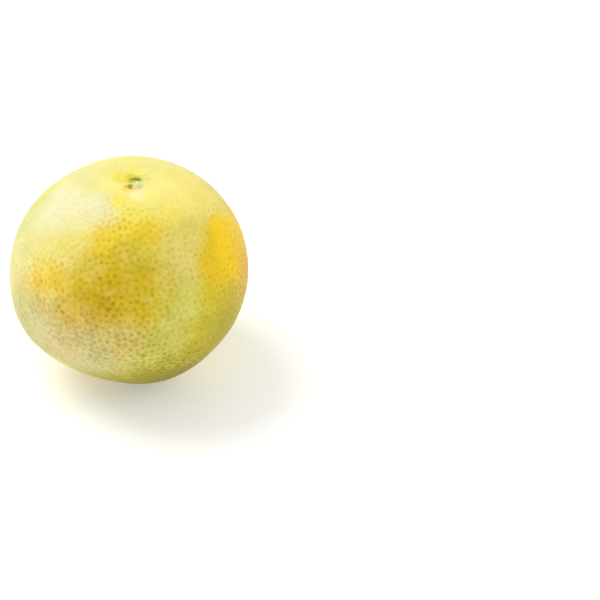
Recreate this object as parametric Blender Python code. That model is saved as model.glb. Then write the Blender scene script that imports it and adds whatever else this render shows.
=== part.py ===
"""A lima orange, the sweet pale-yellow orange: the whole fruit with its dry calyx, in metres, +Z up.

The stem end is up and the fruit rests on a small flat spot round its stylar scar. The origin is at the
bottom centre of the fruit's box, and the side seen in the photograph faces -Y.
"""

from math import acos, asin, atan2, cos, exp, hypot, pi, radians, sin, sqrt

import bmesh
import bpy
from mathutils import Matrix, Vector

MM = 0.001
MERGE_DISTANCE = 0.001 * MM
SHARP_ANGLE = radians(50.0)

# The fruit: an oblate round body.
EQUATOR_RADIUS = 33.8 * MM
POLE_RADIUS = 31.6 * MM
AROUND = 72
FLANK_RINGS = 34

# The stem end, a shallow cavity that stands a little to +X of the fruit's middle, with a few soft
# furrows running out of it.
STEM_OFFSET = 2.3 * MM
STEM_END_RADIUS = 24.0 * MM
CAVITY_RADIUS = 12.5 * MM
CAVITY_DEPTH = 2.6 * MM
CAVITY_RINGS = 12
CAVITY_RING_POWER = 0.8
FURROWS = 8
FURROW_DEPTH = 0.28 * MM
FURROW_START = 3.0 * MM
FURROW_DEEPEST = 4.5 * MM
FURROW_FADING = 5.0 * MM
FURROW_END = 10.0 * MM
FURROW_UNEVENNESS = 0.3
FURROW_DRIFT = 0.8

# The flat spot that the fruit rests on, the rounding that runs from it out to the end radius, and the
# stylar scar in the middle of it. The cheeks fade out between the end radius and the cheek radius.
REST_RADIUS = 5.3 * MM
END_RADIUS = 8.0 * MM
CHEEK_RADIUS = 20.0 * MM
ROUNDING_RINGS = 3
REST_RINGS = 3
SCAR_RADIUS = 1.7 * MM
SCAR_DEPTH = 0.5 * MM
SCAR_RINGS = 3

# Where the fruit swells or sinks from the even body: azimuth and elevation of the middle in degrees,
# rise in metres, and spread in degrees. Azimuth 0 is +X, and -90 is the side in the photograph.
CHEEKS = (
    (-161.0, -23.0, 1.15 * MM, 16.0),
    (-121.0, -49.0, -0.55 * MM, 15.0),
    (-61.0, -50.0, 0.85 * MM, 14.0),
    (132.0, 45.0, -0.70 * MM, 20.0),
    (70.0, -25.0, 0.50 * MM, 24.0),
    (-90.0, 12.0, 0.30 * MM, 22.0),
)

# The calyx: a flat button of five uneven lobes, with a scar in its middle where the stem came away. Each
# lobe has its azimuth in degrees, and how far it reaches past the button.
CALYX_RADIUS = 2.25 * MM
CALYX_LOBES = (
    (14.0, 0.90 * MM),
    (84.0, 0.70 * MM),
    (150.0, 0.75 * MM),
    (224.0, 0.45 * MM),
    (302.0, 0.55 * MM),
)
LOBE_SPREAD = 42.0
CALYX_AROUND = 60
CALYX_GAP = 0.3 * MM
# Height of its top over its seat, by fraction of the radius.
CALYX_TOP = (
    (0.00, 0.86 * MM),
    (0.20, 0.90 * MM),
    (0.34, 0.98 * MM),
    (0.43, 1.12 * MM),
    (0.53, 1.06 * MM),
    (0.66, 0.80 * MM),
    (0.82, 0.58 * MM),
    (0.94, 0.44 * MM),
    (1.00, 0.30 * MM),
)
CALYX_UNDER = (1.00, 0.80, 0.55, 0.28, 0.00)

RIND_COLOUR = (0.78, 0.66, 0.17, 1.0)
RIND_ROUGHNESS = 0.42
CALYX_COLOUR = (0.22, 0.25, 0.07, 1.0)
CALYX_ROUGHNESS = 0.70


def fall_off(distance, reach):
    """One at the middle, and nothing from the reach outwards, with no edge."""
    inside = max(0.0, 1.0 - (distance / reach) ** 2)
    return inside**3


def smooth_step(value, start, end):
    share = min(1.0, max(0.0, (value - start) / (end - start)))
    return share * share * (3.0 - 2.0 * share)


def furrow(radius, around):
    """How deep the soft furrows round the calyx are at this place."""
    opening = smooth_step(radius, FURROW_START, FURROW_DEEPEST)
    closing = 1.0 - smooth_step(radius, FURROW_FADING, FURROW_END)
    share = 1.0 - FURROW_UNEVENNESS * (1.0 - sin(2.0 * around + 0.6))
    wave = 0.5 + 0.5 * cos(FURROWS * around + FURROW_DRIFT * sin(around))
    return FURROW_DEPTH * opening * closing * share * wave**2


def body_height(radius):
    """Height of the even body over its middle, at this distance from the axis."""
    return POLE_RADIUS * sqrt(1.0 - (radius / EQUATOR_RADIUS) ** 2)


def stem_end_point(radius, around):
    """A place on the rind of the stem end, at this distance and azimuth from the stem."""
    offset = STEM_OFFSET * (1.0 - smooth_step(radius, CAVITY_RADIUS, STEM_END_RADIUS))
    x = radius * cos(around) + offset
    y = radius * sin(around)
    dip = CAVITY_DEPTH * fall_off(radius, CAVITY_RADIUS) + furrow(radius, around)
    return Vector((x, y, body_height(hypot(x, y)) - dip))


def rest_height():
    """Height of the flat spot under the fruit's centre, where its rounding meets the body in one slope."""
    edge = body_height(END_RADIUS)
    slope = END_RADIUS * (POLE_RADIUS / EQUATOR_RADIUS) ** 2 / edge
    return -edge - slope * (END_RADIUS - REST_RADIUS) / 2.0


def underside_height(radius):
    """Height of the underside within the end radius: the scar, the flat spot and the rounding."""
    share = max(0.0, (radius - REST_RADIUS) / (END_RADIUS - REST_RADIUS))
    rounding = (-body_height(END_RADIUS) - rest_height()) * share**2
    return rest_height() + rounding + SCAR_DEPTH * fall_off(radius, SCAR_RADIUS)


def profile():
    """Half of the fruit's section, from the stem pole down to the stylar pole."""
    points = []
    for ring in range(CAVITY_RINGS):
        radius = CAVITY_RADIUS * (ring / CAVITY_RINGS) ** CAVITY_RING_POWER
        points.append((radius, 0.0, body_height(radius)))
    first = asin(CAVITY_RADIUS / EQUATOR_RADIUS)
    last = pi - asin(END_RADIUS / EQUATOR_RADIUS)
    for ring in range(FLANK_RINGS + 1):
        angle = first + (last - first) * ring / FLANK_RINGS
        points.append((EQUATOR_RADIUS * sin(angle), 0.0, POLE_RADIUS * cos(angle)))
    bands = (
        (END_RADIUS, REST_RADIUS, ROUNDING_RINGS),
        (REST_RADIUS, SCAR_RADIUS, REST_RINGS),
        (SCAR_RADIUS, 0.0, SCAR_RINGS),
    )
    for outer, inner, rings in bands:
        for ring in range(1, rings + 1):
            radius = outer + (inner - outer) * ring / rings
            points.append((radius, 0.0, underside_height(radius)))
    return points


def spin_profile(mesh, points, steps):
    """Turns the profile about Z into one closed surface."""
    line = [mesh.verts.new(point) for point in points]
    edges = [mesh.edges.new(pair) for pair in zip(line, line[1:])]
    bmesh.ops.spin(
        mesh,
        geom=line + edges,
        cent=(0.0, 0.0, 0.0),
        axis=(0.0, 0.0, 1.0),
        angle=2.0 * pi,
        steps=steps,
        use_merge=True,
    )
    bmesh.ops.remove_doubles(mesh, verts=mesh.verts[:], dist=MERGE_DISTANCE)


def cheek_rise(direction):
    """How far the fruit swells past the even body, in this direction from its centre."""
    rise = 0.0
    for azimuth, elevation, height, spread in CHEEKS:
        level = cos(radians(elevation))
        middle = Vector(
            (level * cos(radians(azimuth)), level * sin(radians(azimuth)), sin(radians(elevation)))
        )
        angle = acos(max(-1.0, min(1.0, direction.dot(middle))))
        rise += height * exp(-0.5 * (angle / radians(spread)) ** 2)
    return rise


def shape_fruit(mesh):
    """Sinks the stem end into its cavity and furrows, and adds the cheeks."""
    for vert in mesh.verts:
        radius = hypot(vert.co.x, vert.co.y)
        around = atan2(vert.co.y, vert.co.x)
        if radius < STEM_END_RADIUS and vert.co.z > 0.0:
            vert.co = stem_end_point(radius, around)
        direction = vert.co.normalized()
        away_from_ends = smooth_step(radius, END_RADIUS, CHEEK_RADIUS)
        vert.co += direction * cheek_rise(direction) * away_from_ends


def box_middle(mesh):
    """The bottom centre of the box round these vertices."""
    xs = [vert.co.x for vert in mesh.verts]
    ys = [vert.co.y for vert in mesh.verts]
    zs = [vert.co.z for vert in mesh.verts]
    return Vector(((min(xs) + max(xs)) / 2.0, (min(ys) + max(ys)) / 2.0, min(zs)))


def calyx_radius(around):
    """How far the calyx reaches from its middle at this azimuth."""
    radius = CALYX_RADIUS
    for azimuth, reach in CALYX_LOBES:
        apart = abs((around - radians(azimuth) + pi) % (2.0 * pi) - pi)
        radius += reach * fall_off(apart, radians(LOBE_SPREAD))
    return radius


def shape_calyx(mesh):
    """Draws the turned button out into its lobes and lays it along the cavity's floor."""
    for vert in mesh.verts:
        share = hypot(vert.co.x, vert.co.y) / CALYX_RADIUS
        around = atan2(vert.co.y, vert.co.x)
        radius = share * calyx_radius(around)
        above_seat = Vector((0.0, 0.0, CALYX_GAP + vert.co.z))
        vert.co = stem_end_point(radius, around) + above_seat


def material(name, colour, roughness):
    made = bpy.data.materials.new(name)
    made.use_nodes = True
    shader = made.node_tree.nodes["Principled BSDF"]
    shader.inputs["Base Color"].default_value = colour
    shader.inputs["Roughness"].default_value = roughness
    shader.inputs["Metallic"].default_value = 0.0
    made.diffuse_color = colour
    return made


def add_object(name, mesh, finish):
    bmesh.ops.recalc_face_normals(mesh, faces=mesh.faces[:])
    data = bpy.data.meshes.new(name)
    mesh.to_mesh(data)
    mesh.free()
    data.materials.append(finish)
    data.shade_smooth()
    data.set_sharp_from_angle(angle=SHARP_ANGLE)
    made = bpy.data.objects.new(name, data)
    bpy.context.scene.collection.objects.link(made)
    return made


def make_fruit():
    mesh = bmesh.new()
    spin_profile(mesh, profile(), AROUND)
    shape_fruit(mesh)
    origin = box_middle(mesh)
    mesh.transform(Matrix.Translation(-origin))
    add_object("fruit", mesh, material("rind", RIND_COLOUR, RIND_ROUGHNESS))
    return origin


def make_calyx(origin):
    mesh = bmesh.new()
    top = [(share * CALYX_RADIUS, 0.0, height) for share, height in CALYX_TOP]
    under = [(share * CALYX_RADIUS, 0.0, 0.0) for share in CALYX_UNDER]
    spin_profile(mesh, top + under, CALYX_AROUND)
    shape_calyx(mesh)
    mesh.transform(Matrix.Translation(-origin))
    add_object("calyx", mesh, material("calyx", CALYX_COLOUR, CALYX_ROUGHNESS))


def main():
    for thing in list(bpy.data.objects):
        bpy.data.objects.remove(thing, do_unlink=True)
    origin = make_fruit()
    make_calyx(origin)


main()
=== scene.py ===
"""The looks of a lima orange: a waxy, pale yellow rind with oil glands and golden blushes, and the dry
calyx in its stem end. Every place is in metres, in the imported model's own frame."""

from collections import namedtuple
from math import cos, dist, floor, radians, sin

import bpy
import numpy as np
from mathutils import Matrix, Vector, noise
from mathutils.kdtree import KDTree


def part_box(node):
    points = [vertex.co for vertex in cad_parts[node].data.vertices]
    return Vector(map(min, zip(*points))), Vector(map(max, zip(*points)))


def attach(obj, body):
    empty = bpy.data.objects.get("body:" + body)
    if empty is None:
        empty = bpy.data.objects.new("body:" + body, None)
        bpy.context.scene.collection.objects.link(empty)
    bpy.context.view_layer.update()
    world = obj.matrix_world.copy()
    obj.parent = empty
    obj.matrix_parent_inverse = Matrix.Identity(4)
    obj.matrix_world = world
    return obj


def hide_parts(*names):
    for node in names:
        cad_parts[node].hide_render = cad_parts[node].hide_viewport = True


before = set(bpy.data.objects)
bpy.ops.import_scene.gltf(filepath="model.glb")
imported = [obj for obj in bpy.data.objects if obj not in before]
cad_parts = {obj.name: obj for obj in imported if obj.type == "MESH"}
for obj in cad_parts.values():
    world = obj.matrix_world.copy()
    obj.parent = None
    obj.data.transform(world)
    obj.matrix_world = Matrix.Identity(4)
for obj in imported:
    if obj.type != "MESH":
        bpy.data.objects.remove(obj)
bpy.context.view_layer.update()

MM = 0.001
SEED = 20260

FRUIT_LOW, FRUIT_HIGH = (Vector(corner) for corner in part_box("fruit"))
CALYX_LOW, CALYX_HIGH = (Vector(corner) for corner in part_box("calyx"))
MIDDLE = (FRUIT_LOW + FRUIT_HIGH) / 2.0
FRUIT_WIDTH = FRUIT_HIGH.x - FRUIT_LOW.x
STEM = Vector(((CALYX_LOW.x + CALYX_HIGH.x) / 2.0, (CALYX_LOW.y + CALYX_HIGH.y) / 2.0, CALYX_HIGH.z))
STYLAR_SCAR = Vector((MIDDLE.x, MIDDLE.y, FRUIT_LOW.z))

# The photograph, and the box round the fruit in it, in pixels. The camera stands so that the fruit's
# picture falls into that box.
PHOTO_WIDTH = 600.0
FRUIT_LEFT, FRUIT_RIGHT = 10.0, 248.8
FRUIT_TOP, FRUIT_BOTTOM = 155.5, 382.8
CAMERA_ELEVATION = 38.0
CAMERA_DISTANCE = 0.70
NEAREST_SEEN = 0.01
SENSOR_WIDTH_MM = 36.0

# The studio. Each softbox has its azimuth and elevation in degrees, its distance from the fruit, its width
# and height in metres, and its power in watts.
FLOOR_SIZE = 12.0
FLOOR_COLOUR = (0.9, 0.9, 0.9, 1.0)
FLOOR_GLOW = 0.22
SURROUND_GLOW = 0.66
WHITE = (1.0, 1.0, 1.0, 1.0)
Softbox = namedtuple("Softbox", "name azimuth elevation distance width height power")
SOFTBOXES = (
    Softbox("key", 149.0, 54.0, 0.75, 0.60, 0.60, 3.9),
    Softbox("side_fill", -12.0, 28.0, 0.75, 0.40, 0.60, 1.3),
)

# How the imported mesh's triangles are joined up into quads.
MERGE_DISTANCE = 0.001 * MM
QUAD_BEND = radians(40.0)
QUAD_SKEW = radians(60.0)

# The skin: how many times as wide as the fruit the cube is that it starts from, how often the cube and the
# guide that it is drawn in onto are halved, and its soft lumps.
CUBE_SCALE = 1.2
SKIN_LEVELS = 7
GUIDE_LEVELS = 2
LUMP_SIZE = 8.0 * MM
LUMP_HEIGHT = 0.22 * MM

# The oil glands: how many places are tried, how far apart the kept ones are, how often they are evened
# out, and the pit of each. Round the stem and the stylar scar they are closer and smaller, fully so within
# the end's core and less and less so out to its reach.
GLAND_TRIES = 60000
GLAND_SPACING = 1.45 * MM
GLAND_SPACING_AT_ENDS = 1.10 * MM
GLAND_EVENINGS = 2
GLAND_RADIUS = 0.60 * MM
GLAND_DEPTH = 0.045 * MM
GLAND_VARIETY = 0.16
SMALLEST_GLAND, LARGEST_GLAND = 0.6, 1.4
GLAND_SHRINK_AT_ENDS = 0.3
END_CORE = 3.25 * MM
END_REACH = 13.0 * MM

# Fine creases that run out from the calyx: where they open, are deepest, fade and end, how far their wave
# sways sideways in radians, and over what distance outwards it shifts by a radian.
CREASES = 17
CREASE_DEPTH = 0.07 * MM
CREASES_START = 2.4 * MM
CREASES_DEEPEST = 3.6 * MM
CREASES_FADING = 3.9 * MM
CREASES_END = 8.5 * MM
CREASE_SWAY = 1.7
CREASE_TURN = 2.2 * MM

# The calyx: how far it settles onto the rind and how much further its edge does, and the relief of its
# lobes and of the stem's scar in its middle, where it faces up. The shares are of its radius.
CALYX_LEVELS = 2
CALYX_SINK = 0.45 * MM
CALYX_EDGE_SINK = 0.30 * MM
EDGE_SHARE = 0.60
CRINKLE_SIZE = 0.7 * MM
CRINKLE_HEIGHT = 0.10 * MM
CRINKLE_IN_STEM_SCAR = 0.4
STEM_SCAR_SHARE = 0.36
LOBE_SHARE = 0.51
VEINS = 9
VEIN_RING = 0.24
VEIN_WIDTH = 0.07
VEIN_HEIGHT = 0.09 * MM
LEAST_UPWARD = 0.2


def direction(azimuth, elevation):
    """The unit vector at this azimuth and elevation in degrees. -90, 0 faces the camera's side."""
    level = cos(radians(elevation))
    return Vector((level * cos(radians(azimuth)), level * sin(radians(azimuth)), sin(radians(elevation))))


def smooth_step(value, start, end):
    share = np.clip((value - start) / (end - start), 0.0, 1.0)
    return share * share * (3.0 - 2.0 * share)


def select_only(piece):
    for other in bpy.context.selected_objects:
        other.select_set(False)
    piece.select_set(True)
    bpy.context.view_layer.objects.active = piece


def apply_modifier(piece, kind, **settings):
    bpy.context.view_layer.objects.active = piece
    modifier = piece.modifiers.new(kind.lower(), kind)
    for name, value in settings.items():
        setattr(modifier, name, value)
    bpy.ops.object.modifier_apply(modifier=modifier.name)


def edit(piece, *steps):
    """Runs steps in edit mode on all of the piece's mesh."""
    select_only(piece)
    bpy.ops.object.mode_set(mode="EDIT")
    bpy.ops.mesh.select_all(action="SELECT")
    for step in steps:
        step()
    bpy.ops.object.mode_set(mode="OBJECT")


def settle(piece, name):
    """Gives the piece its name and puts its place into its mesh."""
    select_only(piece)
    bpy.ops.object.transform_apply(location=True, rotation=True, scale=True)
    piece.name = name
    piece.data.name = name


def clean_copy(node, levels):
    """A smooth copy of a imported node, with its triangles joined up."""
    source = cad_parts[node]
    copy = source.copy()
    copy.data = source.data.copy()
    copy.parent = None
    copy.matrix_world = source.matrix_world
    bpy.context.scene.collection.objects.link(copy)
    edit(
        copy,
        lambda: bpy.ops.mesh.remove_doubles(threshold=MERGE_DISTANCE),
        lambda: bpy.ops.mesh.tris_convert_to_quads(face_threshold=QUAD_BEND, shape_threshold=QUAD_SKEW),
    )
    apply_modifier(copy, "SUBSURF", levels=levels, render_levels=levels)
    return copy


def read_rows(items, field, kind):
    """Three values of each vertex or triangle, as the rows of an array."""
    found = np.empty(len(items) * 3, kind)
    items.foreach_get(field, found)
    return found.reshape(-1, 3)


def places(piece):
    return read_rows(piece.data.vertices, "co", float)


def normals(piece):
    return read_rows(piece.data.vertices, "normal", float)


def triangles_of(piece):
    piece.data.calc_loop_triangles()
    return read_rows(piece.data.loop_triangles, "vertices", int)


def move_to(piece, points):
    piece.data.vertices.foreach_set("co", points.astype(np.float32).ravel())
    piece.data.update()


def add_attribute(piece, name, kind, values):
    attribute = piece.data.attributes.new(name, kind, "POINT")
    field = "vector" if kind == "FLOAT_VECTOR" else "value"
    attribute.data.foreach_set(field, values.astype(np.float32).ravel())


def round_axis(points, middle):
    """How far each place is from the upright line through this one, and at what azimuth."""
    x = points[:, 0] - middle.x
    y = points[:, 1] - middle.y
    return np.hypot(x, y), np.arctan2(y, x)


def near_an_end(points):
    """One at the stem and at the scar, fading out over the end's reach."""
    to_stem, _ = round_axis(points, STEM)
    to_scar, _ = round_axis(points, STYLAR_SCAR)
    distance = np.where(points[:, 2] > MIDDLE.z, to_stem, to_scar)
    return 1.0 - smooth_step(distance, END_CORE, END_REACH)


def random_places(points, triangles, draw):
    """Places all over the skin, as many on each piece of it as its area asks for."""
    corners = points[triangles]
    sides = (corners[:, 1] - corners[:, 0], corners[:, 2] - corners[:, 0])
    areas = np.linalg.norm(np.cross(*sides), axis=1)
    chosen = draw.choice(len(triangles), GLAND_TRIES, p=areas / areas.sum())
    first, second = draw.random((2, GLAND_TRIES, 1))
    over = (first + second) > 1.0
    first = np.where(over, 1.0 - first, first)
    second = np.where(over, 1.0 - second, second)
    return corners[chosen, 0] + first * sides[0][chosen] + second * sides[1][chosen]


def neighbours(cells, home):
    """The glands kept so far in the cells round this one."""
    for x in (-1, 0, 1):
        for y in (-1, 0, 1):
            for z in (-1, 0, 1):
                yield from cells.get((home[0] + x, home[1] + y, home[2] + z), ())


def scatter_glands(points, triangles, draw):
    """Oil glands over the whole skin, none nearer to another than the spacing there."""
    tries = random_places(points, triangles, draw)
    gaps = GLAND_SPACING + (GLAND_SPACING_AT_ENDS - GLAND_SPACING) * near_an_end(tries)
    cells = {}
    kept = []
    for place, gap in zip(tries.tolist(), gaps.tolist()):
        home = tuple(floor(value / GLAND_SPACING) for value in place)
        if all(dist(place, other) > gap for other in neighbours(cells, home)):
            cells.setdefault(home, []).append(place)
            kept.append(place)
    return np.array(kept)


def nearest_gland(points, glands):
    tree = KDTree(len(glands))
    for index, place in enumerate(glands):
        tree.insert(place, index)
    tree.balance()
    return np.array([tree.find(point)[1] for point in points])


def spread_glands(glands, points):
    """Moves each gland to the middle of the skin that is nearest to it, so that they lie more evenly."""
    owner = nearest_gland(points, glands)
    counts = np.maximum(np.bincount(owner, minlength=len(glands)), 1)
    sums = [np.bincount(owner, weights=points[:, axis], minlength=len(glands)) for axis in range(3)]
    return np.stack(sums, axis=1) / counts[:, None]


def crease_depth(points):
    """How deep the fine creases round the calyx are at each place."""
    away, around = round_axis(points, STEM)
    opening = smooth_step(away, CREASES_START, CREASES_DEEPEST)
    closing = 1.0 - smooth_step(away, CREASES_FADING, CREASES_END)
    wave = 0.5 + 0.5 * np.cos(CREASES * around + CREASE_SWAY * np.sin(2.0 * around) + away / CREASE_TURN)
    on_top = points[:, 2] > MIDDLE.z
    return CREASE_DEPTH * opening * closing * wave**2 * on_top


def make_skin():
    """An even sphere of fine quads, drawn in onto the fruit, with its soft lumps."""
    guide = clean_copy("fruit", GUIDE_LEVELS)
    bpy.ops.mesh.primitive_cube_add(size=FRUIT_WIDTH * CUBE_SCALE, location=MIDDLE)
    skin = bpy.context.active_object
    apply_modifier(skin, "SUBSURF", levels=SKIN_LEVELS, render_levels=SKIN_LEVELS)
    apply_modifier(skin, "CAST", cast_type="SPHERE", factor=1.0)
    apply_modifier(
        skin,
        "SHRINKWRAP",
        target=guide,
        wrap_method="PROJECT",
        use_negative_direction=True,
        use_positive_direction=True,
    )
    bpy.data.objects.remove(guide, do_unlink=True)
    lumps = bpy.data.textures.new("lumps", "CLOUDS")
    lumps.noise_scale = LUMP_SIZE
    apply_modifier(skin, "DISPLACE", texture=lumps, strength=LUMP_HEIGHT, mid_level=0.5)
    settle(skin, "rind")
    return skin


def make_rind():
    """The skin, pitted by its glands and creased round the calyx. Its attributes are in millimetres."""
    skin = make_skin()
    draw = np.random.default_rng(SEED)
    points = places(skin)
    outward = normals(skin)
    glands = scatter_glands(points, triangles_of(skin), draw)
    for _ in range(GLAND_EVENINGS):
        glands = spread_glands(glands, points)
    owner = nearest_gland(points, glands)
    sizes = np.clip(draw.normal(1.0, GLAND_VARIETY, len(glands)), SMALLEST_GLAND, LARGEST_GLAND)
    sizes *= 1.0 - GLAND_SHRINK_AT_ENDS * near_an_end(glands)
    tones = draw.random(len(glands))
    offset = (points - glands[owner]) / MM
    distance = np.linalg.norm(offset, axis=1)
    pit = np.exp(-((distance * MM / (GLAND_RADIUS * sizes[owner])) ** 2))
    sink = GLAND_DEPTH * pit + crease_depth(points)
    move_to(skin, points - outward * sink[:, None])
    add_attribute(skin, "gland_offset", "FLOAT_VECTOR", offset)
    add_attribute(skin, "gland_distance", "FLOAT", distance)
    add_attribute(skin, "gland_size", "FLOAT", sizes[owner])
    add_attribute(skin, "gland_tone", "FLOAT", tones[owner])
    bpy.ops.object.shade_smooth()
    return skin


class Wire:
    """A socket of a finish, so that shader maths reads as Python."""

    def __init__(self, finish, socket):
        self.finish = finish
        self.socket = socket

    def __add__(self, other):
        return self.finish.math("ADD", self, other)

    def __radd__(self, other):
        return self.finish.math("ADD", other, self)

    def __sub__(self, other):
        return self.finish.math("SUBTRACT", self, other)

    def __rsub__(self, other):
        return self.finish.math("SUBTRACT", other, self)

    def __mul__(self, other):
        return self.finish.math("MULTIPLY", self, other)

    def __rmul__(self, other):
        return self.finish.math("MULTIPLY", other, self)

    def __truediv__(self, other):
        return self.finish.math("DIVIDE", self, other)

    def __pow__(self, other):
        return self.finish.math("POWER", self, other)


class Finish:
    """A material, with short ways to add its nodes."""

    # The sockets of a colour mix, by number, because their names stand for several sockets each.
    MIX_FACTOR, MIX_FIRST, MIX_SECOND = 0, 6, 7
    MIX_RESULT = 2

    def __init__(self, name, specular):
        self.material = bpy.data.materials.new(name)
        self.material.use_nodes = True
        self.tree = self.material.node_tree
        self.shader = self.tree.nodes["Principled BSDF"]
        self.shader.inputs["Specular IOR Level"].default_value = specular
        self.shader.inputs["Metallic"].default_value = 0.0

    def feed(self, socket, value):
        if isinstance(value, Wire):
            self.tree.links.new(value.socket, socket)
        else:
            socket.default_value = value

    def node(self, kind, output=0, settings=None, inputs=None):
        """Adds a node, sets it, feeds its sockets and gives back one of its outputs."""
        made = self.tree.nodes.new("ShaderNode" + kind)
        for name, value in (settings or {}).items():
            setattr(made, name, value)
        for name, value in (inputs or {}).items():
            self.feed(made.inputs[name], value)
        return Wire(self, made.outputs[output])

    def math(self, operation, *values):
        numbered = dict(enumerate(values))
        return self.node("Math", settings={"operation": operation}, inputs=numbered)

    def mix(self, first, second, factor, blend="MIX"):
        """From the first colour to the second, or to the two blended in another way."""
        return self.node(
            "Mix",
            output=self.MIX_RESULT,
            settings={"data_type": "RGBA", "blend_type": blend, "clamp_factor": True},
            inputs={self.MIX_FACTOR: factor, self.MIX_FIRST: first, self.MIX_SECOND: second},
        )

    def tint(self, colour, other, factor):
        """From the colour to the two multiplied."""
        return self.mix(colour, other, factor, blend="MULTIPLY")

    def step(self, value, start, end, low=0.0, high=1.0):
        """The low value up to the start, the high one from the end, smooth between them."""
        return self.node(
            "MapRange",
            settings={"interpolation_type": "SMOOTHSTEP"},
            inputs={"Value": value, "From Min": start, "From Max": end, "To Min": low, "To Max": high},
        )

    def attribute(self, name, output):
        return self.node("Attribute", output=output, settings={"attribute_name": name})

    def place(self):
        return self.node("TexCoord", output="Object")

    def noise(self, vector, size, detail=2.0, roughness=0.5, output=0):
        return self.node(
            "TexNoise",
            output=output,
            inputs={"Vector": vector, "Scale": 1.0 / size, "Detail": detail, "Roughness": roughness},
        )

    def vector_math(self, operation, *values, output=0):
        numbered = dict(enumerate(values))
        return self.node("VectorMath", output=output, settings={"operation": operation}, inputs=numbered)

    def distance(self, where, middle):
        return self.vector_math("DISTANCE", where, tuple(middle), output="Value")

    def length(self, vector):
        return self.vector_math("LENGTH", vector, output="Value")

    def relief(self, height, depth, under=None):
        """Bumps the surface by a height between nothing and one, over the relief under it."""
        inputs = {"Height": height, "Distance": depth, "Strength": 1.0}
        if under is not None:
            inputs["Normal"] = under
        return self.node("Bump", inputs=inputs)

    def surface(self, colour, roughness, normal=None):
        """Feeds the shader and gives back the material."""
        self.feed(self.shader.inputs["Base Color"], colour)
        self.feed(self.shader.inputs["Roughness"], roughness)
        if normal is not None:
            self.feed(self.shader.inputs["Normal"], normal)
        return self.material


def linear(*screen):
    """A colour given as it looks on screen, from 0 to 255, in linear values by the sRGB curve."""
    colour = []
    for value in screen:
        share = value / 255.0
        colour.append(share / 12.92 if share <= 0.04045 else ((share + 0.055) / 1.055) ** 2.4)
    return (*colour, 1.0)


# A soft patch of another colour in the rind: azimuth and elevation of its middle in degrees, how far it
# reaches in metres, the share of that which has it in full, how much of its colour it has, and the colour.
Blush = namedtuple("Blush", "azimuth elevation reach core strength colour")

STRAW = linear(222, 206, 104)
PALE_STRAW = linear(220, 208, 94)
STRONG_STRAW = linear(232, 214, 84)
LEMON = linear(228, 220, 134)
BUTTER = linear(238, 222, 118)
PALE_BUTTER = linear(242, 231, 132)
CREAM = linear(226, 223, 179)
# Pale cream, partly a painted highlight on the upper left.
PALE_LEMON = linear(230, 220, 134)
SOFT_CREAM = linear(211, 211, 148)
WARM_CREAM = linear(221, 213, 142)
ORANGE_GOLD = linear(231, 193, 57)
LIGHT_GOLD = linear(243, 208, 72)
WARM_YELLOW = linear(240, 202, 30)
DEEP_GOLD = linear(209, 178, 26)
RUSSET_GOLD = linear(206, 164, 24)
GOLD = linear(214, 186, 28)
YELLOW_GOLD = linear(228, 196, 32)
BRIGHT_YELLOW = linear(240, 223, 90)
FULL_YELLOW = linear(240, 208, 32)
PALE_GREEN = linear(206, 204, 94)
LIME = linear(186, 196, 72)
# Egg yellow, partly the rind's own colour and partly painted reflected light.
EGG = linear(245, 206, 8)
DEEP_EGG = linear(227, 192, 14)
OLIVE_GOLD = linear(212, 190, 22)
OLIVE_KHAKI = linear(204, 190, 66)
# Painted shade colours for the right flank: amber and shaded olive.
AMBER_PAINTED_SHADE = linear(208, 160, 22)
PAINTED_SHADE_OLIVE = linear(168, 154, 28)
OLIVE = linear(190, 178, 20)
TAN = linear(222, 194, 100)
PINK_KHAKI = linear(212, 193, 128)
PINK_CREAM = linear(228, 205, 146)
GREEN_KHAKI = linear(197, 199, 134)
GREEN_STRAW = linear(203, 204, 127)
PALE_KHAKI = linear(224, 215, 156)
DULL_KHAKI = linear(192, 184, 84)
DARK_OLIVE = linear(170, 159, 24)
# Deep olive, used as painted shade for the underside's rim.
DEEP_OLIVE_PAINTED_SHADE = linear(127, 118, 16)

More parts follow.
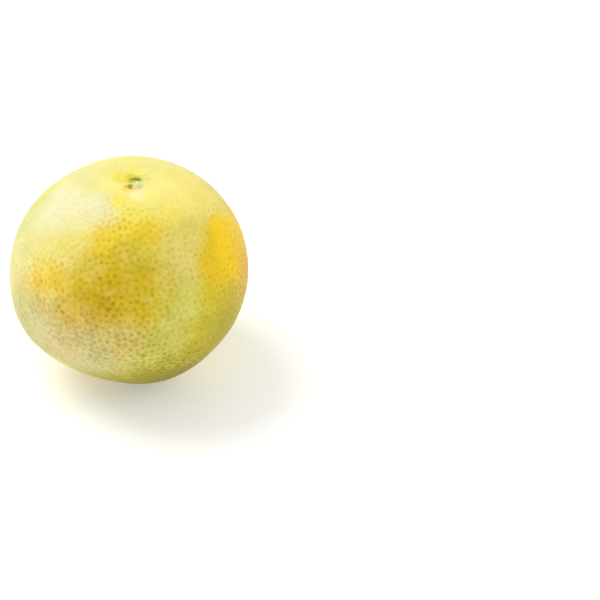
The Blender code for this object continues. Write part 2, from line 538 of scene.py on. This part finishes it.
BLUSHES = (
    # Pale cream, lemon and straw round the top and down the left.
    Blush(80, 70, 24 * MM, 0.3, 0.85, LEMON),
    Blush(172, 60, 15 * MM, 0.4, 0.75, SOFT_CREAM),
    Blush(2, 58, 15 * MM, 0.3, 0.80, BUTTER),
    Blush(-20, 66, 9 * MM, 0.2, 0.60, PALE_BUTTER),
    Blush(-158, 42, 24 * MM, 0.5, 0.85, PALE_LEMON),
    Blush(-172, 18, 17 * MM, 0.5, 0.80, WARM_CREAM),
    Blush(-150, 8, 9 * MM, 0.2, 0.60, TAN),
    # Painted highlight in part: pale cream where the soft light's sheen falls on the upper left.
    Blush(-168, 56, 13 * MM, 0.3, 0.85, CREAM),
    # Painted shade in part: the upper left rim made darker and greener where it turns away from the light.
    Blush(165, 42, 9 * MM, 0.2, 0.80, PALE_STRAW),
    Blush(172, 31, 18 * MM, 0.0, 0.90, GREEN_STRAW),
    # Painted highlight in part: pale cream where the soft light's sheen falls near the top.
    Blush(-126, 69, 9.5 * MM, 0.2, 0.80, CREAM),
    Blush(-60, 66, 12 * MM, 0.4, 0.70, BRIGHT_YELLOW),
    Blush(-42, 73, 8 * MM, 0.3, 0.60, PALE_LEMON),
    Blush(-50, 42, 14 * MM, 0.3, 0.50, STRAW),
    # Gold in the middle of the front.
    Blush(-95, 24, 20 * MM, 0.45, 0.95, GOLD),
    Blush(-72, 24, 9 * MM, 0.3, 0.60, GOLD),
    Blush(-92, 46, 13 * MM, 0.4, 0.85, YELLOW_GOLD),
    Blush(-104, 56, 8 * MM, 0.2, 0.50, FULL_YELLOW),
    Blush(-84, 58, 7 * MM, 0.2, 0.50, FULL_YELLOW),
    Blush(-68, 56, 7 * MM, 0.3, 0.85, YELLOW_GOLD),
    Blush(-125, 46, 7 * MM, 0.2, 0.50, STRONG_STRAW),
    Blush(-131, 25, 10.5 * MM, 0.3, 0.80, LIGHT_GOLD),
    Blush(-139, 22, 6 * MM, 0.2, 0.60, ORANGE_GOLD),
    Blush(-138, 11, 8 * MM, 0.2, 0.60, TAN),
    Blush(-127, 30, 6 * MM, 0.2, 0.50, YELLOW_GOLD),
    Blush(-89, 37, 12 * MM, 0.3, 0.80, DEEP_GOLD),
    Blush(-84, 48, 9 * MM, 0.3, 0.50, OLIVE_KHAKI),
    Blush(-108, 16, 11 * MM, 0.2, 0.60, DEEP_GOLD),
    Blush(-107, 40, 4.5 * MM, 0.2, 0.45, STRAW),
    Blush(-101, 23, 9 * MM, 0.2, 0.45, RUSSET_GOLD),
    Blush(-90, 43, 5 * MM, 0.2, 0.50, GOLD),
    # Green and pinkish khaki below it, and olive on the right.
    Blush(-58, 14, 12 * MM, 0.3, 0.75, PALE_GREEN),
    Blush(-121, -7, 18 * MM, 0.4, 0.75, PINK_KHAKI),
    Blush(-116, 14, 7 * MM, 0.2, 0.60, ORANGE_GOLD),
    Blush(-93, -6, 14 * MM, 0.3, 0.60, PINK_KHAKI),
    Blush(-146, -4, 12 * MM, 0.3, 0.60, GREEN_KHAKI),
    Blush(-112, -20, 14 * MM, 0.4, 0.70, GREEN_KHAKI),
    Blush(-147, -20, 14 * MM, 0.3, 0.55, GREEN_KHAKI),
    Blush(-120, -10, 11 * MM, 0.2, 0.60, PINK_CREAM),
    Blush(-135, -4, 8 * MM, 0.2, 0.60, PALE_KHAKI),
    Blush(-86, -1, 8 * MM, 0.2, 0.35, TAN),
    Blush(-75, -12, 12 * MM, 0.3, 0.60, LIME),
    Blush(-66, -1, 10 * MM, 0.2, 0.55, DULL_KHAKI),
    Blush(-44, -11, 14 * MM, 0.4, 0.90, OLIVE),
    Blush(-60, -16, 9 * MM, 0.2, 0.50, DARK_OLIVE),
    # Painted shade: dark olive and olive low on the front, where the underside turns towards the floor.
    Blush(-72, -42, 20 * MM, 0.4, 0.85, DARK_OLIVE),
    Blush(-95, -46, 16.5 * MM, 0.4, 0.80, OLIVE),
    Blush(-35, 14, 12 * MM, 0.4, 0.90, OLIVE_GOLD),
    # The right side and the back.
    Blush(51, 12, 23 * MM, 0.4, 0.80, GOLD),
    Blush(22, 9, 21 * MM, 0.3, 0.95, WARM_YELLOW),
    Blush(8, -2, 19 * MM, 0.2, 0.60, ORANGE_GOLD),
    Blush(95, -20, 20 * MM, 0.4, 0.70, PALE_GREEN),
    Blush(112, 30, 20 * MM, 0.4, 0.75, YELLOW_GOLD),
    Blush(160, -8, 18 * MM, 0.3, 0.70, PINK_KHAKI),
    Blush(15, -30, 18 * MM, 0.4, 0.80, OLIVE),
    Blush(170, -38, 18 * MM, 0.4, 0.70, YELLOW_GOLD),
)

# Blushes that lie over the mottle of the rind: painted shade in olive and amber on the right, egg yellow on
# the right that is partly painted reflected light, and painted shade in deep olive low on the front.
CLEAR_BLUSHES = (
    # Painted shade: darker olive low on the right flank.
    Blush(-27, -14, 21 * MM, 0.1, 0.85, PAINTED_SHADE_OLIVE),
    # Egg yellow on the right flank: partly the rind's own colour, partly painted warm reflected light.
    Blush(-29, 29, 11 * MM, 0.5, 0.95, DEEP_EGG),
    Blush(-12, 26, 12.5 * MM, 0.6, 0.95, EGG),
    # Painted shade: amber towards the right rim, darker where shade falls on that side.
    Blush(-7, 6, 18 * MM, 0.0, 0.75, AMBER_PAINTED_SHADE),
    # Painted shade: deep olive along the low front rim, where the underside turns towards the floor.
    Blush(-86, -52, 21 * MM, 0.0, 0.78, DEEP_OLIVE_PAINTED_SHADE),
    Blush(-54, -45, 19 * MM, 0.0, 0.72, DEEP_OLIVE_PAINTED_SHADE),
)

# A place where the glands show less, or more if its strength is below zero. The values are as for a blush,
# without the colour.
Calm = namedtuple("Calm", "azimuth elevation reach core strength")

CALMS = (
    Calm(-172, 60, 24.5 * MM, 0.5, 0.82),
    Calm(-122, 42, 18 * MM, 0.4, 0.30),
    Calm(60, 75, 26 * MM, 0.5, 0.78),
    Calm(0, 72, 16 * MM, 0.5, 0.60),
    Calm(-50, 44, 22 * MM, 0.4, 0.48),
    Calm(-61, 6, 14 * MM, 0.3, 0.30),
    Calm(-97, 13, 13 * MM, 0.3, -0.22),
    Calm(0, 36, 22 * MM, 0.4, 0.50),
    Calm(-98, 32, 18 * MM, 0.3, 0.15),
    Calm(-95, -48, 24 * MM, 0.4, 0.55),
    Calm(-125, -28, 18 * MM, 0.4, 0.40),
    Calm(-154, -1, 20 * MM, 0.4, 0.45),
    Calm(-178, 12, 20 * MM, 0.4, 0.55),
    Calm(-42, -4, 18 * MM, 0.4, 0.45),
    Calm(130, 20, 24 * MM, 0.3, 0.50),
    Calm(60, -40, 22 * MM, 0.3, 0.50),
)

# Small oval marks round the stem: how far to the right of it and behind it the middle of each is, how far
# it reaches sideways and forwards in metres, and then as for a blush.
StemMark = namedtuple("StemMark", "right behind wide deep core strength colour")

STEM_MARKS = (
    StemMark(-6.0 * MM, -1.5 * MM, 5.5 * MM, 7.0 * MM, 0.2, 0.75, linear(238, 230, 134)),
    StemMark(0.0 * MM, 5.8 * MM, 3.6 * MM, 2.4 * MM, 0.2, 0.60, linear(238, 226, 92)),
    StemMark(-3.7 * MM, 2.2 * MM, 3.4 * MM, 3.4 * MM, 0.3, 0.85, linear(234, 213, 78)),
    StemMark(-4.1 * MM, -9.1 * MM, 2.1 * MM, 4.2 * MM, 0.3, 0.80, linear(232, 221, 82)),
    StemMark(1.0 * MM, -6.0 * MM, 3.6 * MM, 4.4 * MM, 0.3, 0.75, linear(238, 224, 164)),
    StemMark(1.2 * MM, -2.6 * MM, 3.2 * MM, 2.4 * MM, 0.4, 0.90, linear(238, 218, 152)),
    StemMark(3.7 * MM, 2.5 * MM, 1.8 * MM, 1.3 * MM, 0.2, 0.65, linear(210, 206, 100)),
    StemMark(-2.0 * MM, -2.9 * MM, 2.2 * MM, 1.5 * MM, 0.3, 0.80, linear(236, 202, 88)),
    StemMark(-0.4 * MM, 3.1 * MM, 3.3 * MM, 1.9 * MM, 0.3, 0.90, linear(206, 200, 48)),
    StemMark(-2.0 * MM, -1.3 * MM, 1.7 * MM, 0.9 * MM, 0.3, 0.80, linear(198, 170, 76)),
    StemMark(1.3 * MM, 0.0 * MM, 2.3 * MM, 1.4 * MM, 0.4, 0.95, linear(222, 232, 168)),
    StemMark(-1.1 * MM, 0.9 * MM, 2.1 * MM, 1.7 * MM, 0.3, 0.90, linear(170, 184, 62)),
    # Painted shade in part: the dark olive crescent on the calyx's far side is partly its own dark green
    # and partly the shade of the stem cavity's far wall.
    StemMark(0.2 * MM, 2.0 * MM, 2.5 * MM, 1.6 * MM, 0.3, 1.00, linear(116, 120, 18)),
    StemMark(-0.8 * MM, -1.8 * MM, 1.2 * MM, 0.9 * MM, 0.2, 0.90, linear(160, 130, 40)),
    StemMark(1.5 * MM, -1.5 * MM, 1.2 * MM, 0.6 * MM, 0.2, 0.35, linear(200, 186, 130)),
)

# The least blue, in linear values, that a pale blush has.
DEEPEST_PALE = 0.10

PALE_MOTTLE = linear(240, 230, 150)
STYLAR_BROWN = linear(132, 104, 58)
CALYX_CREAM = linear(238, 224, 147)
CALYX_STRAW = linear(226, 209, 124)

# Tints, which the colour under them is multiplied by.
DULL_TINT = (0.90, 0.88, 0.74, 1.0)
GLAND_TINT = (0.64, 0.56, 0.30, 1.0)
DARK_FLECK_TINT = (0.88, 0.85, 0.68, 1.0)
LIGHT_FLECK_TINT = (1.10, 1.095, 1.14, 1.0)
CALYX_RING_TINT = (0.78, 0.72, 0.54, 1.0)
CALYX_GRAIN_TINT = (0.90, 0.86, 0.74, 1.0)

# The sizes of the noises, and how far the patches and the marks round the stem drift with theirs.
DRIFT_SIZE, DRIFT = 13.0 * MM, 9.0 * MM
STEM_DRIFT_SIZE, STEM_DRIFT = 1.6 * MM, 2.2 * MM
MOTTLE_SIZE = 4.5 * MM
DOT_GRAIN_SIZE = 1.3 * MM
FLECK_SIZE = 1.1 * MM
PEBBLE_SIZE = 0.9 * MM
CALYX_GRAIN_SIZE = 0.35 * MM

# The dot on each gland: where it is full and where it ends, in sizes of the gland, how far the grain moves
# its edge, and how strong the faintest is, how much stronger they get evenly, and how much more a few get.
DOT_CORE, DOT_EDGE = 0.02, 0.86
DOT_RAGGEDNESS = 1.5
FAINTEST_DOT = 0.30
DOT_RANGE = 0.38
BOLD_DOTS = 0.25
BOLD_POWER = 6.0

# How much further a deep blush reaches on a gland than between glands, and the dot at which it keeps its
# own reach.
GLAND_SWELL = 2.4 * MM
NO_SWELL_DOT = 0.4

# How dull the mottle is where no gland shows, as a share of where they show in full.
LEAST_DULL = 0.25

# The depths of the fine relief.
PEBBLE_DEPTH = 0.04 * MM
DOT_DEPTH = 0.05 * MM
CALYX_GRAIN_DEPTH = 0.12 * MM

# How rough the rind is, and how much rougher in its mottle and on its dots.
RIND_ROUGHNESS = 0.40
MOTTLE_ROUGHNESS = 0.10
DOT_ROUGHNESS = 0.04
CALYX_ROUGHNESS = 0.75

# The brown of the stylar scar: where it is full and where it ends.
BROWN_CORE, BROWN_REACH = 1.3 * MM, 2.6 * MM


def surface_place(patch):
    """The place on the fruit at the middle of a patch."""
    towards = direction(patch.azimuth, patch.elevation)
    size = (FRUIT_HIGH - FRUIT_LOW) / 2.0
    return MIDDLE + Vector((towards.x * size.x, towards.y * size.y, towards.z * size.z))


def patch_share(finish, distance, patch):
    """How much of a patch there is at this distance from its middle."""
    return finish.step(distance, patch.core * patch.reach, patch.reach, low=patch.strength, high=0.0)


def blushed(finish, where, swell, blushes, colour):
    """The colour with the blushes over it. The swell widens the deep ones and narrows the pale ones."""
    for blush in blushes:
        distance = finish.distance(where, surface_place(blush))
        is_deep = blush.colour[2] < DEEPEST_PALE
        reached = distance - swell if is_deep else distance + swell
        colour = finish.mix(colour, blush.colour, patch_share(finish, reached, blush))
    return colour


def drifted_by(finish, where, size, amount):
    """The place, moved a little way by noise, so that what is laid out with it gets ragged edges."""
    drift = finish.noise(where, size, detail=4.0, roughness=0.6, output="Color")
    drift = finish.vector_math("SUBTRACT", drift, (0.5, 0.5, 0.5))
    return finish.vector_math("ADD", where, finish.vector_math("MULTIPLY", drift, (amount,) * 3))


def stem_marked(finish, where, colour):
    """The colour with the small marks round the stem over it, on the rind and on the calyx alike."""
    ragged = drifted_by(finish, where, STEM_DRIFT_SIZE, STEM_DRIFT)
    for mark in STEM_MARKS:
        middle = (STEM.x + mark.right, STEM.y + mark.behind, 0.0)
        apart = finish.vector_math("SUBTRACT", ragged, middle)
        apart = finish.vector_math("MULTIPLY", apart, (1.0 / mark.wide, 1.0 / mark.deep, 0.0))
        share = finish.step(finish.length(apart), mark.core, 1.0, low=mark.strength, high=0.0)
        colour = finish.mix(colour, mark.colour, share)
    return colour


def gland_contrast(finish, where):
    """How far the glands show here."""
    contrast = 1.0
    for calm in CALMS:
        distance = finish.distance(where, surface_place(calm))
        contrast = (1.0 - patch_share(finish, distance, calm)) * contrast
    return contrast


def gland_reach(finish):
    """Distance from the nearest gland in its own sizes, about 0.9 where two meet.

    The offset is exact on a gland but breaks where the nearest gland changes, and the distance holds there.
    Between 0.40 and 0.60 mm away the one gives way to the other.
    """
    near = finish.length(finish.attribute("gland_offset", "Vector"))
    far = finish.attribute("gland_distance", "Fac")
    distance = near + (far - near) * finish.step(far, 0.40, 0.60)
    return distance / finish.attribute("gland_size", "Fac")


def gland_dots(finish, where):
    """One on each gland and nothing between them, with a grainy edge."""
    grain = finish.noise(where, DOT_GRAIN_SIZE, detail=3.0, roughness=0.6)
    reach = gland_reach(finish) + DOT_RAGGEDNESS * (grain - 0.5)
    return finish.step(reach, DOT_CORE, DOT_EDGE, low=1.0, high=0.0)


# What the layers of the rind share: the place, the place drifted by noise, the mottle, the dots of the
# glands, and how far they show.
Pattern = namedtuple("Pattern", "where drifted mottle dot contrast")


def rind_pattern(finish):
    where = finish.place()
    drifted = drifted_by(finish, where, DRIFT_SIZE, DRIFT)
    mottle = finish.noise(where, MOTTLE_SIZE, detail=4.0, roughness=0.65)
    return Pattern(where, drifted, mottle, gland_dots(finish, where), gland_contrast(finish, drifted))


def rind_patches(finish, pattern):
    """The colour of the rind under its dots: the blushes, the mottle and the marks round the stem."""
    swell = (pattern.dot - NO_SWELL_DOT) * pattern.contrast * GLAND_SWELL
    colour = blushed(finish, pattern.drifted, swell, BLUSHES, STRAW)
    dull = finish.step(pattern.mottle, 0.46, 0.70) * (LEAST_DULL + (1.0 - LEAST_DULL) * pattern.contrast)
    colour = finish.tint(colour, DULL_TINT, dull)
    pale = finish.step(pattern.mottle, 0.30, 0.50, low=0.20, high=0.0)
    colour = finish.mix(colour, PALE_MOTTLE, pale)
    colour = blushed(finish, pattern.drifted, swell, CLEAR_BLUSHES, colour)
    height = finish.node("SeparateXYZ", output="Z", inputs={"Vector": pattern.where})
    top = finish.step(height, MIDDLE.z, STEM.z)
    marked = stem_marked(finish, pattern.where, colour)
    return finish.mix(colour, marked, finish.step(top, 0.5, 0.7))


def rind_dotted(finish, pattern, colour):
    """The colour with the dots of the glands over it, and fine dark and light flecks."""
    tone = finish.attribute("gland_tone", "Fac")
    patchy = finish.step(pattern.mottle, 0.30, 0.65, low=0.75, high=1.15)
    strength = FAINTEST_DOT + DOT_RANGE * tone + BOLD_DOTS * tone**BOLD_POWER
    strength = strength * patchy * pattern.contrast
    colour = finish.tint(colour, GLAND_TINT, pattern.dot * strength)
    fleck = finish.noise(pattern.where, FLECK_SIZE)
    dark = finish.step(fleck, 0.50, 0.68) * pattern.contrast
    colour = finish.tint(colour, DARK_FLECK_TINT, dark)
    light = finish.step(fleck, 0.32, 0.50, low=1.0, high=0.0) * pattern.contrast * (1.0 - pattern.dot)
    return finish.tint(colour, LIGHT_FLECK_TINT, light)


def rind_relief(finish, pattern):
    """Fine pebbles all over, and the dots pressed in."""
    pebbles = finish.relief(finish.noise(pattern.where, PEBBLE_SIZE), PEBBLE_DEPTH)
    return finish.relief(1.0 - pattern.dot, DOT_DEPTH, under=pebbles)


def rind_finish():
    finish = Finish("rind_skin", specular=0.15)
    pattern = rind_pattern(finish)
    colour = rind_dotted(finish, pattern, rind_patches(finish, pattern))
    to_scar = finish.distance(pattern.where, STYLAR_SCAR)
    brown = finish.step(to_scar, BROWN_CORE, BROWN_REACH, low=0.9, high=0.0)
    colour = finish.mix(colour, STYLAR_BROWN, brown)
    roughness = RIND_ROUGHNESS + MOTTLE_ROUGHNESS * pattern.mottle + DOT_ROUGHNESS * pattern.dot
    return finish.surface(colour, roughness, rind_relief(finish, pattern))


def make_calyx():
    """A finer copy of its solid, settled onto the rind, with crinkled lobes and a veined scar."""
    button = clean_copy("calyx", CALYX_LEVELS)
    settle(button, "calyx_button")
    points = places(button)
    outward = normals(button)
    away, around = round_axis(points, STEM)
    share = away / ((CALYX_HIGH.x - CALYX_LOW.x) / 2.0)
    crinkle = np.array([noise.noise(Vector(point) / CRINKLE_SIZE) for point in points])
    on_lobes = smooth_step(share, STEM_SCAR_SHARE, LOBE_SHARE)
    crinkle *= CRINKLE_IN_STEM_SCAR + (1.0 - CRINKLE_IN_STEM_SCAR) * on_lobes
    ring = np.exp(-(((share - VEIN_RING) / VEIN_WIDTH) ** 2))
    veins = ring * (0.5 + 0.5 * np.cos(VEINS * around)) ** 2
    on_top = outward[:, 2] > LEAST_UPWARD
    rise = (CRINKLE_HEIGHT * crinkle + VEIN_HEIGHT * veins) * on_top
    moved = points + outward * rise[:, None]
    moved[:, 2] -= CALYX_SINK + CALYX_EDGE_SINK * smooth_step(share, EDGE_SHARE, 1.0)
    move_to(button, moved)
    add_attribute(button, "calyx_share", "FLOAT", share)
    bpy.ops.object.shade_smooth()
    return button


def calyx_finish():
    finish = Finish("calyx_skin", specular=0.2)
    where = finish.place()
    grain = finish.noise(where, CALYX_GRAIN_SIZE, detail=4.0, roughness=0.65)
    colour = finish.mix(CALYX_CREAM, CALYX_STRAW, grain)
    colour = stem_marked(finish, where, colour)
    share = finish.attribute("calyx_share", "Fac")
    ring = finish.step(share, 0.30, 0.40) * finish.step(share, 0.42, 0.54, low=1.0, high=0.0)
    colour = finish.tint(colour, CALYX_RING_TINT, ring * grain)
    colour = finish.tint(colour, CALYX_GRAIN_TINT, finish.step(grain, 0.45, 0.75))
    return finish.surface(colour, CALYX_ROUGHNESS, finish.relief(grain, CALYX_GRAIN_DEPTH))


def dress(piece, material, node):
    piece.data.materials.clear()
    piece.data.materials.append(material)
    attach(piece, "root")
    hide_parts(node)


def add_camera():
    """Looks from the photograph's side, so that the fruit lands at its place in the photograph."""
    metres_per_pixel = FRUIT_WIDTH / (FRUIT_RIGHT - FRUIT_LEFT)
    right = Vector((1.0, 0.0, 0.0))
    forward = -direction(-90.0, CAMERA_ELEVATION)
    up = right.cross(forward)
    across = (PHOTO_WIDTH / 2.0 - (FRUIT_LEFT + FRUIT_RIGHT) / 2.0) * metres_per_pixel
    down = (PHOTO_WIDTH / 2.0 - (FRUIT_TOP + FRUIT_BOTTOM) / 2.0) * metres_per_pixel
    target = MIDDLE + right * across - up * down
    data = bpy.data.cameras.new("camera")
    data.sensor_width = SENSOR_WIDTH_MM
    data.lens = SENSOR_WIDTH_MM * CAMERA_DISTANCE / (PHOTO_WIDTH * metres_per_pixel)
    data.clip_start = NEAREST_SEEN
    camera = bpy.data.objects.new("camera", data)
    camera.location = target - forward * CAMERA_DISTANCE
    camera.rotation_euler = forward.to_track_quat("-Z", "Y").to_euler()
    bpy.context.scene.collection.objects.link(camera)
    bpy.context.scene.camera = camera


def add_floor():
    bpy.ops.mesh.primitive_plane_add(size=FLOOR_SIZE, location=(0.0, 0.0, FRUIT_LOW.z))
    ground = bpy.context.active_object
    ground.name = "floor"
    finish = Finish("floor_white", specular=0.2)
    finish.shader.inputs["Emission Color"].default_value = WHITE
    finish.shader.inputs["Emission Strength"].default_value = FLOOR_GLOW
    ground.data.materials.append(finish.surface(FLOOR_COLOUR, roughness=0.8))


def add_surround():
    world = bpy.data.worlds.new("studio")
    world.use_nodes = True
    background = world.node_tree.nodes["Background"]
    background.inputs["Color"].default_value = WHITE
    background.inputs["Strength"].default_value = SURROUND_GLOW
    bpy.context.scene.world = world
    bpy.context.scene.view_settings.view_transform = "Standard"


def add_softbox(box):
    """A soft lamp that lights the fruit from its side."""
    data = bpy.data.lights.new(box.name, "AREA")
    data.shape = "ELLIPSE"
    data.size = box.width
    data.size_y = box.height
    data.energy = box.power
    towards = direction(box.azimuth, box.elevation)
    lamp = bpy.data.objects.new(box.name, data)
    lamp.location = MIDDLE + towards * box.distance
    lamp.rotation_euler = (-towards).to_track_quat("-Z", "Y").to_euler()
    bpy.context.scene.collection.objects.link(lamp)


add_camera()
add_floor()
add_surround()
for box in SOFTBOXES:
    add_softbox(box)
dress(make_rind(), rind_finish(), "fruit")
dress(make_calyx(), calyx_finish(), "calyx")
